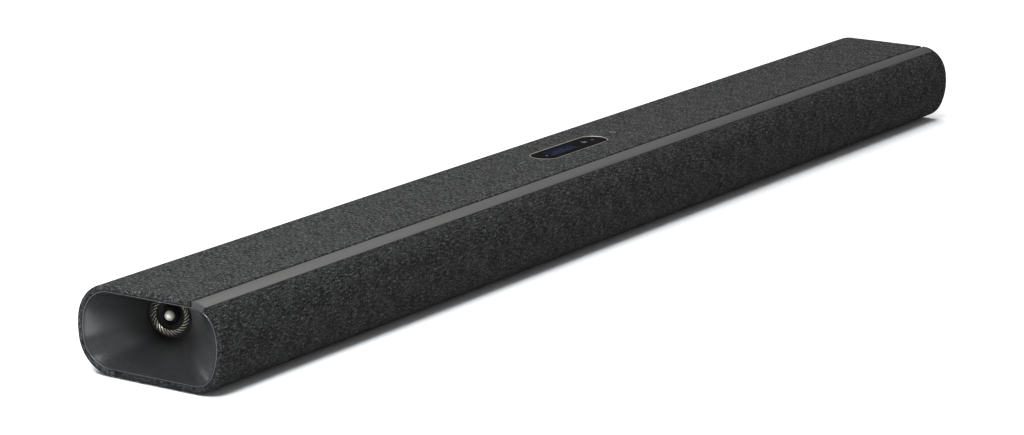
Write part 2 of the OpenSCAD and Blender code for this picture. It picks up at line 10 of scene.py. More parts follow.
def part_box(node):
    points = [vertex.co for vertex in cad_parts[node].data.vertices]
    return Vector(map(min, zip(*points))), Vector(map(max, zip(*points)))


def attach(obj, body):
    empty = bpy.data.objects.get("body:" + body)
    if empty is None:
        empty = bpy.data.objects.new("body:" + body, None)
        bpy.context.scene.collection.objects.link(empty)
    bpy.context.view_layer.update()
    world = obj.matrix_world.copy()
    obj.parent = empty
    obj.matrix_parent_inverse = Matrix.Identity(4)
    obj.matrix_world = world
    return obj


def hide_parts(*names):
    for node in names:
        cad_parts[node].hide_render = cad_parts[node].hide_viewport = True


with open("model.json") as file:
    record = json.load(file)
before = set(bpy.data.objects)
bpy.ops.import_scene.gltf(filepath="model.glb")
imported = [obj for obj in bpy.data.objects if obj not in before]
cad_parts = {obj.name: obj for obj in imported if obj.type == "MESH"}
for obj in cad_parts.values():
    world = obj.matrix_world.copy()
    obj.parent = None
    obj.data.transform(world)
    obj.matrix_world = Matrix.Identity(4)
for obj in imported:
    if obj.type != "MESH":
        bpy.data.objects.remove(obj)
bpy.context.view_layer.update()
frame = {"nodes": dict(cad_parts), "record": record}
NODES = frame["nodes"]
MM = 0.001

# ---- The body's section, in mm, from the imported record's own sizes ----

TOP_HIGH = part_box("top_fabric")[1]
FRONT_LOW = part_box("front_fabric")[0]
END_X = TOP_HIGH[0] / MM
TOP_Z = TOP_HIGH[2] / MM
BOTTOM_Z = FRONT_LOW[2] / MM
HALF_D = TOP_HIGH[1] / MM
FRONT = {"bottom_r": 21.0, "top_r": 24.0, "side_r": 50.0, "side_z": 35.0}
REAR = {"bottom_r": 27.0, "top_r": 28.0, "side_r": 60.0, "side_z": 33.0}
STRIP_ANGLE = 27.5
STRIP_INSET = 0.4
GROOVE = 1.5
SEAM_Y = 30.0
RIM = 4.2
LIP_INSET = 4.35
WINDOW_Y = sum(c[1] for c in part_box("window_bezel")) / 2 / MM
HORN_DEPTH = 50.0
THROAT_Y = 22.0
THROAT_Z = 34.5
HORN_TILT = 16.0
THROAT_R = 16.8
COLLAR_DEPTH = 5.0
COLLAR_WALL = 2.0
FLARE_POWER = 1.28
FLARE_REACH_Y = 58.0
FLARE_REACH_Z = 26.0


def side_arcs(side):
    """Centre, radius and end angles of a side's three tangent arcs, from the top down, for the side at +Y."""
    side_y = HALF_D - side["side_r"]

    def corner(r, z):
        dz = side["side_z"] - z
        return side_y + math.sqrt((side["side_r"] - r) ** 2 - dz ** 2), z

    high = corner(side["top_r"], TOP_Z - side["top_r"])
    low = corner(side["bottom_r"], BOTTOM_Z + side["bottom_r"])
    a_high = math.degrees(math.atan2(high[1] - side["side_z"], high[0] - side_y))
    a_low = -math.degrees(math.atan2(side["side_z"] - low[1], low[0] - side_y))
    return [
        (high, side["top_r"], 90.0, a_high),
        ((side_y, side["side_z"]), side["side_r"], a_high, a_low),
        (low, side["bottom_r"], a_low, -90.0),
    ]


def arc_points(centre, r, a0, a1, flip, step=1.2):
    """(y, z, normal y, normal z) along an arc, mirrored to the front when flip is -1."""
    n = max(2, math.ceil(abs(math.radians(a1 - a0)) * r / step))
    out = []
    for i in range(n + 1):
        a = math.radians(a0 + (a1 - a0) * i / n)
        out.append((flip * (centre[0] + r * math.cos(a)), centre[1] + r * math.sin(a),
                    flip * math.cos(a), math.sin(a)))
    return out


def flat_points(y0, y1, z, nz, step=3.0):
    n = max(1, math.ceil(abs(y1 - y0) / step))
    return [(y0 + (y1 - y0) * i / n, z, 0.0, nz) for i in range(n + 1)]


def joined(*runs):
    out = []
    for run in runs:
        for p in run:
            if not out or math.dist(p[:2], out[-1][:2]) > 1e-4:
                out.append(p)
    return out


FRONT_ARCS = side_arcs(FRONT)
REAR_ARCS = side_arcs(REAR)
STRIP_Y = -FRONT_ARCS[0][0][0]


def side_path(arcs, flip, start=90.0):
    """The side from its top corner down, starting at an angle on the top corner."""
    runs = []
    for i, (c, r, a0, a1) in enumerate(arcs):
        runs.append(arc_points(c, r, start if i == 0 else a0, a1, flip))
    return joined(*runs)


def outline():
    """The whole closed section, clockwise from the front end of the top."""
    front = list(reversed(side_path(FRONT_ARCS, -1)))
    return joined(
        flat_points(front[-1][0], REAR_ARCS[0][0][0], TOP_Z, 1.0),
        side_path(REAR_ARCS, 1),
        flat_points(REAR_ARCS[2][0][0], -FRONT_ARCS[2][0][0], BOTTOM_Z, -1.0),
        front,
    )[:-1]


# ---- Mesh helpers ----

def new_piece(name, verts, faces, material, body="root", smooth_angle=40.0, weld=True):
    """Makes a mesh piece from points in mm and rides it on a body."""
    mesh = bpy.data.meshes.new(name)
    mesh.from_pydata([tuple(c * MM for c in v) for v in verts], [], faces)
    piece = bpy.data.objects.new(name, mesh)
    bpy.context.scene.collection.objects.link(piece)
    finish_mesh(piece, smooth_angle, weld)
    mesh.materials.append(material)
    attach(piece, body)
    return piece


def finish_mesh(piece, smooth_angle=40.0, weld=True):
    mesh = piece.data
    bm = bmesh.new()
    bm.from_mesh(mesh)
    if weld:
        bmesh.ops.remove_doubles(bm, verts=bm.verts, dist=1e-6)
    bmesh.ops.recalc_face_normals(bm, faces=bm.faces)
    bm.to_mesh(mesh)
    bm.free()
    mesh.polygons.foreach_set("use_smooth", [True] * len(mesh.polygons))
    mesh.set_sharp_from_angle(angle=math.radians(smooth_angle))


def grid_faces(rows, cols, close_cols=False, close_rows=False):
    faces = []
    for i in range(rows if close_rows else rows - 1):
        for j in range(cols if close_cols else cols - 1):
            a, b = i * cols + j, i * cols + (j + 1) % cols
            c, d = (i + 1) % rows * cols + (j + 1) % cols, (i + 1) % rows * cols + j
            faces.append((a, b, c, d))
    return faces


class Build:
    """Collects the points and faces of one piece."""

    def __init__(self):
        self.verts = []
        self.faces = []

    def add(self, verts, faces, place=None):
        base = len(self.verts)
        self.verts += [tuple(place(v)) if place else tuple(v) for v in verts]
        self.faces += [tuple(base + i for i in f) for f in faces]
        return self

    def lathe(self, profile, place=None, segments=72):
        """Turns a closed or axis-ended (radius, height) profile about the local z axis."""
        verts = []
        for r, h in profile:
            for k in range(segments):
                a = 2 * math.pi * k / segments
                verts.append((max(r, 1e-4) * math.cos(a), max(r, 1e-4) * math.sin(a), h))
        return self.add(verts, grid_faces(len(profile), segments, close_cols=True), place)

    def loft(self, rings, place=None, capped=True):
        """Joins closed rings of equal length, with a face over each end when capped."""
        n = len(rings[0])
        faces = grid_faces(len(rings), n, close_cols=True)
        if capped:
            faces.append(tuple(reversed(range(n))))
            faces.append(tuple(range((len(rings) - 1) * n, len(rings) * n)))
        return self.add([p for ring in rings for p in ring], faces, place)

    def block(self, centre, size, bevel, place=None):
        """A box with rounded edges, as a loft of rounded rectangles up the local z axis."""
        (cx, cy, cz), (sx, sy, sz) = centre, size
        rings = []
        for h, inset in ((0.0, bevel), (bevel * 0.3, bevel * 0.3), (bevel, 0.0),
                         (sz - bevel, 0.0), (sz - bevel * 0.3, bevel * 0.3), (sz, bevel)):
            rings.append([(cx + x, cy + y, cz - sz / 2 + h)
                          for x, y in rounded_rectangle(sx - 2 * inset, sy - 2 * inset, bevel)])
        return self.loft(rings, place)


def rounded_rectangle(w, h, r, n=4):
    r = min(r, w / 2 - 1e-3, h / 2 - 1e-3)
    out = []
    for sx, sy, start in ((1, 1, 0), (-1, 1, 90), (-1, -1, 180), (1, -1, 270)):
        for i in range(n + 1):
            a = math.radians(start + 90 * i / n)
            out.append((sx * (w / 2 - r) + r * math.cos(a), sy * (h / 2 - r) + r * math.sin(a)))
    return out


def stadium(length, width, n=20):
    r, run = width / 2, (length - width) / 2
    out = []
    for side, start in ((1, -90), (-1, 90)):
        for i in range(n + 1):
            a = math.radians(start + 180 * i / n)
            out.append((side * run + r * math.cos(a), r * math.sin(a)))
    return out


# ---- Materials ----

class Nodes:
    """Small builder for one procedural material."""

    def __init__(self, name, roughness, metallic=0.0, **constants):
        self.material = bpy.data.materials.new(name)
        self.material.use_nodes = True
        self.tree = self.material.node_tree
        self.shader = self.tree.nodes["Principled BSDF"]
        self.shader.inputs["Roughness"].default_value = roughness
        self.shader.inputs["Metallic"].default_value = metallic
        for key, value in constants.items():
            self.shader.inputs[key.replace("_", " ")].default_value = value
        self.coords = self.tree.nodes.new("ShaderNodeTexCoord").outputs["Object"]

    def link(self, a, b):
        self.tree.links.new(a, b)

    def node(self, kind, **values):
        node = self.tree.nodes.new("ShaderNode" + kind)
        for key, value in values.items():
            name = key.replace("_", " ")
            if name in node.inputs:
                node.inputs[name].default_value = value
            else:
                setattr(node, key, value)
        return node

    def stretched(self, scale, source=None):
        mapping = self.node("Mapping")
        mapping.inputs["Scale"].default_value = scale
        self.link(source or self.coords, mapping.inputs["Vector"])
        return mapping.outputs["Vector"]

    def noise(self, scale, detail=3.0, rough=0.55, source=None):
        noise = self.node("TexNoise", Scale=1.0, Detail=detail, Roughness=rough)
        self.link(self.stretched(scale, source), noise.inputs["Vector"])
        return noise.outputs["Fac"]

    def ramp(self, value, *stops):
        """Maps a value through colour stops, each (position, (r, g, b))."""
        ramp = self.node("ValToRGB")
        elements = ramp.color_ramp.elements
        while len(elements) < len(stops):
            elements.new(0.5)
        for element, (position, colour) in zip(elements, stops):
            element.position = position
            element.color = (*colour, 1.0)
        self.link(value, ramp.inputs["Fac"])
        return ramp.outputs["Color"]

    def mixed(self, amount, a, b, blend="MIX"):
        mix = self.node("Mix", data_type="RGBA", blend_type=blend)
        self.link(amount, mix.inputs[0])
        self.link(a, mix.inputs[6])
        self.link(b, mix.inputs[7])
        return mix.outputs[2]

    def math(self, operation, a, b):
        node = self.node("Math", operation=operation)
        for socket, value in zip(node.inputs, (a, b)):
            if isinstance(value, (int, float)):
                socket.default_value = value
            else:
                self.link(value, socket)
        return node.outputs["Value"]

    def ranged(self, value, low, high):
        node = self.node("MapRange")
        node.inputs["To Min"].default_value = low
        node.inputs["To Max"].default_value = high
        self.link(value, node.inputs["Value"])
        return node.outputs["Result"]

    def bump(self, height, strength, distance):
        bump = self.node("Bump", Strength=strength, Distance=distance)
        self.link(height, bump.inputs["Height"])
        self.link(bump.outputs["Normal"], self.shader.inputs["Normal"])

    def colour(self, colour):
        self.link(colour, self.shader.inputs["Base Color"])

    def rough(self, value):
        self.link(value, self.shader.inputs["Roughness"])


def toned(base, factor):
    """A colour made darker or lighter."""
    return tuple(c * factor for c in base)


def moulded(name, base, roughness, grain=1800.0, vary=0.12, relief=0.35, **constants):
    """Moulded plastic or rubber: a fine even grain, with slight changes of tone and gloss."""
    m = Nodes(name, roughness, **constants)
    cloud = m.noise((22.0,) * 3, 4.0)
    dark, light = toned(base, 1 - vary), toned(base, 1 + vary)
    m.colour(m.ramp(cloud, (0.3, dark), (0.7, light)))
    m.rough(m.ranged(m.noise((60.0,) * 3, 5.0), roughness - 0.05, roughness + 0.06))
    m.bump(m.noise((grain,) * 3, 2.0), relief, 0.00004)
    return m.material


def metal(name, base, roughness, along=(14.0, 2200.0, 2200.0), vary=0.1, relief=0.18, metallic=1.0,
          **constants):
    """Metal with fine brush lines, long in the direction where along is smallest."""
    m = Nodes(name, roughness, metallic, **constants)
    lines = m.noise(along, 4.0, 0.6)
    dark, light = toned(base, 1 - vary), toned(base, 1 + vary)
    m.colour(m.ramp(lines, (0.25, dark), (0.75, light)))
    m.rough(m.ranged(lines, roughness - 0.06, roughness + 0.08))
    m.bump(lines, relief, 0.00003)
    return m.material


def cloth(name, dark, mid, light, streak=1.0):
    """Melange knit: dark yarn with short lighter flecks both ways, a soft mottle and a knitted relief.

    streak above 1 draws the flecks out down the cloth.
    """
    m = Nodes(name, 0.95, Specular_IOR_Level=0.06)
    weave = m.node("UVMap", uv_map="weave").outputs["UV"]
    across = m.noise((820.0, 330.0 * streak, 1.0), 2.0, 0.6, weave)
    down = m.noise((330.0 / streak, 820.0, 1.0), 2.0, 0.6, weave)
    fine = m.noise((1150.0, 1150.0, 1.0), 1.0, 0.5, weave)
    mottle = m.noise((70.0, 110.0 * streak, 1.0), 4.0, 0.65, weave)
    tone = m.ramp(mottle, (0.38, dark), (0.64, mid))
    flecks = m.math("MAXIMUM", across, down)
    uneven = m.math("MULTIPLY", flecks, m.ranged(fine, 0.82, 1.18))
    fleck_mask = m.ramp(uneven, (0.56, (0, 0, 0)), (0.72, (1, 1, 1)))
    with_flecks = m.mixed(fleck_mask, tone, m.ramp(fine, (0.35, mid), (0.62, light)))
    pits = m.ramp(m.math("MINIMUM", across, down), (0.34, (0.22, 0.22, 0.22)), (0.48, (1, 1, 1)))
    shade = m.node("Mix", data_type="RGBA", blend_type="MULTIPLY")
    shade.inputs[0].default_value = 1.0
    m.link(with_flecks, shade.inputs[6])
    m.link(pits, shade.inputs[7])
    m.colour(shade.outputs[2])
    m.bump(m.math("ADD", m.math("ADD", across, down), fine), 1.0, 0.0012)
    return m.material


def horn_plastic(name):
    """Satin moulding with painted shade: its colour turns darker from the mouth of the horn towards its
    throat, where shade falls, and it also turns duller there.
    """
    m = Nodes(name, 0.3, Specular_IOR_Level=1.0)
    split = m.node("SeparateXYZ")
    m.link(m.coords, split.inputs[0])
    place = m.node("MapRange")
    place.inputs["From Min"].default_value = (END_X - HORN_DEPTH) * MM
    place.inputs["From Max"].default_value = (END_X - 6.0) * MM
    m.link(m.math("ABSOLUTE", split.outputs["X"], 0.0), place.inputs["Value"])
    cloud = m.noise((22.0,) * 3, 4.0)
    # Painted shade: the base colour darkens with depth into the horn, towards the throat.
    tone = m.ramp(place.outputs["Result"], (0.0, (0.0035, 0.0035, 0.0037)), (1.0, (0.018, 0.0182, 0.0192)))
    clouded = m.node("Mix", data_type="RGBA", blend_type="MULTIPLY")
    clouded.inputs[0].default_value = 1.0
    m.link(tone, clouded.inputs[6])
    m.link(m.ramp(cloud, (0.3, (0.93, 0.93, 0.93)), (0.7, (1, 1, 1))), clouded.inputs[7])
    m.colour(clouded.outputs[2])
    m.rough(m.ranged(place.outputs["Result"], 0.6, 0.24))
    m.bump(m.noise((900.0,) * 3, 2.0), 0.06, 0.00004)
    return m.material


def board(name):
    """Circuit board: lacquered green with a fine grid of lighter copper traces."""
    m = Nodes(name, 0.35, Coat_Weight=0.4)
    cells = m.node("TexBrick", Scale=160.0, Mortar_Size=0.03)
    cells.inputs["Color1"].default_value = (0.012, 0.07, 0.03, 1)
    cells.inputs["Color2"].default_value = (0.016, 0.09, 0.04, 1)
    cells.inputs["Mortar"].default_value = (0.05, 0.17, 0.08, 1)
    m.link(m.coords, cells.inputs["Vector"])
    m.colour(cells.outputs["Color"])
    m.bump(cells.outputs["Fac"], 0.3, 0.00005)
    return m.material


def lens_gloss(name):
    """Black glossy window with a trace of haze and unevenness in its polish."""
    m = Nodes(name, 0.12, Specular_IOR_Level=0.0, Coat_Weight=0.05, Coat_Roughness=0.05)
    haze = m.noise((40.0,) * 3, 5.0)
    m.colour(m.ramp(haze, (0.3, (0.0025, 0.0025, 0.003)), (0.7, (0.0045, 0.0045, 0.0055))))
    m.rough(m.ranged(haze, 0.05, 0.12))
    m.bump(m.noise((14.0,) * 3, 1.0), 0.04, 0.0002)
    return m.material


def lit(name, base, glow, strength):
    """Dim printed or lit mark with a fine dot structure."""
    m = Nodes(name, 0.35, Specular_IOR_Level=0.0)
    dots = m.noise((2500.0,) * 3, 1.0)
    m.colour(m.ramp(dots, (0.3, tuple(c * 0.8 for c in base)), (0.7, base)))
    m.shader.inputs["Emission Color"].default_value = (*glow, 1.0)
    m.shader.inputs["Emission Strength"].default_value = strength
    return m.material


FABRIC = cloth("charcoal_cloth", (0.018, 0.018, 0.0183), (0.040, 0.040, 0.0403), (0.15, 0.15, 0.148))
# The front cloth is the top cloth in darker tones: painted shade on the front face and the underside.
FRONT_CLOTH_PAINTED_SHADE = cloth("charcoal_cloth_front_painted_shade", (0.0105, 0.0105, 0.0108), (0.025, 0.025, 0.0253),
                     (0.10, 0.10, 0.099), 0.6)
TRIM = metal("brushed_trim", (0.086, 0.086, 0.084), 0.5, vary=0.16)
BLACK = moulded("black_moulding", (0.012, 0.012, 0.013), 0.5)
HORN = horn_plastic("horn_satin_painted_shade")
VANE = moulded("vane_black", (0.006, 0.006, 0.0062), 0.6, relief=0.1, Specular_IOR_Level=0.2)
BLADE = metal("blade_gloss", (0.66, 0.64, 0.56), 0.2, along=(500.0, 500.0, 500.0), vary=0.08, metallic=0.9)
PLUG = metal("plug_satin_silver", (0.86, 0.83, 0.74), 0.45, along=(600.0, 600.0, 600.0), vary=0.05,
             metallic=0.45)
DOME = metal("dome_metal", (0.62, 0.60, 0.55), 0.32, along=(900.0, 900.0, 900.0))
STEEL = metal("plated_steel", (0.42, 0.42, 0.43), 0.38, along=(300.0, 300.0, 300.0))
BEZEL = metal("champagne_bezel", (0.26, 0.245, 0.21), 0.6, along=(60.0, 1500.0, 1500.0), vary=0.06)
LENS = lens_gloss("window_gloss")
BOARD = board("circuit_board")
BUTTON = moulded("button_plastic", (0.04, 0.04, 0.041), 0.35, relief=0.1)
RUBBER = moulded("foot_rubber", (0.012, 0.012, 0.012), 0.8, grain=2600.0, relief=0.6)
BRASS = metal("machined_brass", (0.62, 0.45, 0.18), 0.3, along=(900.0, 60.0, 900.0))
SCREW = metal("black_oxide_steel", (0.035, 0.035, 0.037), 0.42, along=(500.0, 500.0, 500.0))
FOAM = moulded("gasket_foam", (0.02, 0.02, 0.02), 0.9, grain=1200.0, relief=0.9)
BASKET = moulded("basket_plastic", (0.022, 0.022, 0.023), 0.55)
CONE = moulded("woven_cone", (0.04, 0.04, 0.043), 0.5, grain=700.0, relief=0.6)
SINK = metal("heatsink_metal", (0.2, 0.2, 0.21), 0.45, along=(30.0, 900.0, 900.0))
TAPE = moulded("yellow_tape", (0.45, 0.33, 0.04), 0.3, grain=300.0, Coat_Weight=0.3)
SLEEVE = moulded("blue_sleeve", (0.02, 0.03, 0.11), 0.25, Coat_Weight=0.3)
WIRE = moulded("wire_sleeve", (0.015, 0.015, 0.015), 0.6, grain=1500.0, relief=0.8)
DISPLAY = lit("dim_display", (0.006, 0.007, 0.013), (0.22, 0.26, 0.46), 0.012)
DISPLAY_BAR = lit("dim_display_bars", (0.010, 0.012, 0.022), (0.22, 0.27, 0.50), 0.045)
MARK = lit("printed_mark", (0.07, 0.072, 0.08), (0.6, 0.65, 0.8), 0.05)
PIN = metal("nickel_pin", (0.66, 0.65, 0.60), 0.25, along=(400.0, 30.0, 400.0))

NODE_MATERIALS = {
    "fabric": FABRIC, "trim_metal": TRIM, "black_plastic": BLACK, "horn_plastic": HORN, "vane_plastic": VANE,
    "plug_silver": PLUG, "dome_metal": DOME, "magnet_steel": STEEL, "bezel_metal": BEZEL, "lens_black": LENS,
    "display_glass": DISPLAY, "circuit_board": BOARD, "socket_metal": STEEL, "button_plastic": BUTTON,
    "pin_metal": PIN, "foot_rubber": RUBBER, "brass": BRASS, "screw_steel": SCREW, "foam": FOAM,
    "basket_plastic": BASKET, "surround_rubber": RUBBER, "cone": CONE, "chip_plastic": BLACK,
    "heatsink_metal": SINK, "transformer_tape": TAPE, "capacitor_sleeve": SLEEVE, "wire_sleeve": WIRE,
}


def paint_cad_nodes():
    slots = {s["node"]: s["material_slot"] for s in frame["record"]["subparts"]}
    for name, obj in NODES.items():
        for slot in obj.material_slots:
            slot.material = NODE_MATERIALS[slots[name]]


# ---- Fabric ----

def length_profile():
    """(x, inset) from one end of the bar to the other."""
    wrap = 1.3
    end = [(2.6, RIM + 0.05), (1.0, RIM), (0.35, RIM - 0.15), (0.08, RIM - 0.5), (0.0, RIM - 1.0), (0.0, 2.6)]
    end += [(wrap * (1 - math.cos(math.radians(a))), wrap * (1 - math.sin(math.radians(a))))
            for a in range(0, 91, 10)]
    left = [(-END_X + d, inset) for d, inset in end]
    right = [(END_X - d, inset) for d, inset in reversed(end)]
    steps = 208
    start, stop = left[-1][0], right[0][0]
    middle = [(start + (stop - start) * i / steps, 0.0) for i in range(1, steps)]
    return left + middle + right


def with_rolled_edges(path, deep=1.1):
    """Adds an inset to each path point, so that the cloth rolls in at both of its long edges."""
    lengths = [0.0]
    for a, b in zip(path, path[1:]):
        lengths.append(lengths[-1] + math.dist(a[:2], b[:2]))
    total = lengths[-1]
    out = []
    for p, s in zip(path, lengths):
        near = min(s, total - s)
        out.append((p, s, deep * max(0.0, 1 - near / 0.8) ** 2.2))
    return out


def finer_ends(path, count=9, reach=1.4):
    """Puts extra points near both ends of a path, where the cloth's edge is rolled."""
    def split(points):
        a, b = points[0], points[1]
        long = math.dist(a[:2], b[:2])
        first = [tuple(x + (y - x) * min(1.0, reach * i / count / long) for x, y in zip(a, b))
                 for i in range(count)]
        return joined(first, points[1:])
    return list(reversed(split(list(reversed(split(path))))))


def cut(piece, cutter_verts, cutter_faces):
    mesh = bpy.data.meshes.new("cutter")
    mesh.from_pydata([tuple(c * MM for c in v) for v in cutter_verts], [], cutter_faces)
    bm = bmesh.new()
    bm.from_mesh(mesh)
    bmesh.ops.recalc_face_normals(bm, faces=bm.faces)
    bm.to_mesh(mesh)
    bm.free()
    tool = bpy.data.objects.new("cutter", mesh)
    bpy.context.scene.collection.objects.link(tool)
    modifier = piece.modifiers.new("cut", "BOOLEAN")
    modifier.object = tool
    modifier.operation = "DIFFERENCE"
    modifier.solver = "EXACT"
    bpy.context.view_layer.update()
    result = bpy.data.meshes.new_from_object(piece.evaluated_get(bpy.context.evaluated_depsgraph_get()))
    piece.modifiers.clear()
    piece.data = result
    bpy.data.objects.remove(tool)


def prism(ring, z0, z1, place=None):
    return Build().loft([[(x, y, z0) for x, y in ring], [(x, y, z1) for x, y in ring]], place)


def fabric(name, path, cutters, replaced, material):
    """A cloth shell along the bar with rolled edges and wrapped ends, and the openings cut out of it."""
    thick = 0.5
    rows = with_rolled_edges(finer_ends(path))
    cols = length_profile()
    run = [0.0]
    for a, b in zip(cols, cols[1:]):
        run.append(run[-1] + math.dist(a, b))
    verts, uvs = [], []
    for layer in (0.0, thick):
        for (y, z, ny, nz), s, roll in rows:
            for (x, inset), t in zip(cols, run):
                move = inset + roll
                inner = layer if inset < 2.0 else 0.0
                slide = layer if inset >= 2.0 and layer else 0.0
                verts.append((x - math.copysign(slide, x), y - ny * (move + inner), z - nz * (move + inner)))
                uvs.append((s * MM, t * MM))
    n, m = len(rows), len(cols)
    faces = grid_faces(n, m)
    count = n * m
    inner_faces = [tuple(count + i for i in reversed(f)) for f in faces]
    faces = faces + inner_faces
    for i in range(n - 1):
        for j in (0, m - 1):
            faces.append((i * m + j, (i + 1) * m + j, count + (i + 1) * m + j, count + i * m + j))
    for j in range(m - 1):
        for i in (0, n - 1):
            faces.append((i * m + j, i * m + j + 1, count + i * m + j + 1, count + i * m + j))
    piece = new_piece(name, verts, faces, material, smooth_angle=60.0, weld=False)
    layer = piece.data.uv_layers.new(name="weave")
    for loop in piece.data.loops:
        layer.data[loop.index].uv = uvs[loop.vertex_index]
    for build in cutters:
        cut(piece, build.verts, build.faces)
    piece.data.polygons.foreach_set("use_smooth", [True] * len(piece.data.polygons))
    piece.data.set_sharp_from_angle(angle=math.radians(50))
    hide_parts(replaced)
    return piece


def node_box(name):
    low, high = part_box(name)
    return [c / MM for c in low], [c / MM for c in high]


def make_fabrics():
    """The top cloth with its openings, and the front cloth that runs under the bar."""
    top_path = joined(
        flat_points(STRIP_Y + GROOVE, REAR_ARCS[0][0][0], TOP_Z, 1.0),
        side_path(REAR_ARCS, 1),
        flat_points(REAR_ARCS[2][0][0], SEAM_Y + 0.3, BOTTOM_Z, -1.0),
    )
    front_path = joined(
        side_path(FRONT_ARCS, -1, 90.0 - STRIP_ANGLE - 0.5),
        flat_points(-FRONT_ARCS[2][0][0], SEAM_Y - 0.3, BOTTOM_Z, -1.0),
    )
    ring = [(x, WINDOW_Y + y) for x, y in stadium(93.2, 25.2)]
    bay_low, bay_high = node_box("port_bay")
    bay = [(0.5 * (bay_low[0] + bay_high[0]) + x, 0.5 * (bay_low[2] + bay_high[2]) + y) for x, y in
           rounded_rectangle(bay_high[0] - bay_low[0] + 0.2, bay_high[2] - bay_low[2] + 0.2, 2.5)]

    def upright(v):
        return v[0], v[2], v[1]

    cutters = [prism(ring, TOP_Z - 4, TOP_Z + 3), prism(bay, 44, 70, upright)]
    insert_low, insert_high = node_box("wall_mount_inserts")
    insert_z = 0.5 * (insert_low[2] + insert_high[2])
    for x in (insert_low[0], insert_high[0]):
        centre = x + math.copysign(3.95, -x)
        disc = [(centre + 7 * math.cos(a), insert_z + 7 * math.sin(a))
                for a in (2 * math.pi * i / 40 for i in range(40))]
        cutters.append(prism(disc, 52, 70, upright))
    for name in ("volume_down_button", "volume_up_button"):
        b_low, b_high = node_box(name)
        cx, cy = 0.5 * (b_low[0] + b_high[0]), 0.5 * (b_low[1] + b_high[1])
        for ring in glyph_rings(name == "volume_up_button", 8.2, 2.9):
            cutters.append(prism([(cx + x, cy + y) for x, y in ring], TOP_Z - 4, TOP_Z + 3))
    fabric("fabric_top", top_path, cutters, "top_fabric", FABRIC)
    p_low, p_high = node_box("base_plate")
    plate = [(x, 0.5 * (p_low[1] + p_high[1]) + y) for x, y in
             rounded_rectangle(p_high[0] - p_low[0] + 0.6, p_high[1] - p_low[1] + 0.6, 3.0)]
    fabric("fabric_front", front_path, [prism(plate, -5, 6)], "front_fabric", FRONT_CLOTH_PAINTED_SHADE)


def glyph_rings(plus, length, width):
    bars = [stadium(length, width, 8)]
    if plus:
        bars.append([(-y, x) for x, y in stadium(length, width, 8)])
    return bars


# ---- Trim strip ----

def make_trim():
    """Curved metal strip with small bevels on its long edges and at its ends."""
    (cy, cz), r, _, _ = FRONT_ARCS[0]
    thick, bevel, steps = 0.9, 0.22, 28
    outer_r = r - STRIP_INSET
    first, last = 0.9, STRIP_ANGLE
    section = []
    for i in range(steps + 1):
        section.append((first + (last - first) * i / steps, outer_r))
    back = [(a, outer_r - thick) for a, _ in reversed(section)]
    turn = math.degrees(bevel / outer_r)
    section = [(first - turn, outer_r - bevel)] + section + [(last + turn, outer_r - bevel)]
    section += [(last + turn, outer_r - thick)] + back + [(first - turn, outer_r - thick)]

    def ring(x, shrink):
        out = []
        for a, radius in section:
            rr = radius - shrink
            out.append((x, -cy - rr * math.sin(math.radians(a)), cz + rr * math.cos(math.radians(a))))
        return out

    ends = END_X - 2.5
    xs = [(-ends, bevel), (-ends + bevel, 0.0)]
    xs += [(-ends + bevel + (2 * ends - 2 * bevel) * i / 60, 0.0) for i in range(1, 60)]
    xs += [(ends - bevel, 0.0), (ends, bevel)]
    build = Build().loft([ring(x, s) for x, s in xs])
    strip = new_piece("trim_strip_metal", build.verts, build.faces, TRIM, smooth_angle=30.0)
    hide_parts("trim_strip")


# ---- Horns ----

def throat_place(side):
    """Maps a point of the throat's own frame, z out along its axis, to the bar's; side is -1 for left."""
    tilt = math.radians(HORN_TILT)
    axis = Vector((-math.cos(tilt), -math.sin(tilt), 0.0))
    up = Vector((0.0, 0.0, 1.0))
    across = up.cross(axis)
    origin = Vector((-END_X + HORN_DEPTH, THROAT_Y, THROAT_Z))

    def place(v):
        p = origin + across * v[0] + up * v[1] + axis * v[2]
        return (-side * p.x, p.y, p.z)

    return place


def even_ring(points, count):
    """The closed outline resampled to points at even arc lengths."""
    pts = points + [points[0]]
    lengths = [0.0]
    for a, b in zip(pts, pts[1:]):
        lengths.append(lengths[-1] + math.dist(a, b))
    out, i = [], 0
    for k in range(count):
        s = lengths[-1] * k / count
        while lengths[i + 1] < s:
            i += 1
        f = (s - lengths[i]) / (lengths[i + 1] - lengths[i])
        out.append(tuple(a + (b - a) * f for a, b in zip(pts[i], pts[i + 1])))
    return out


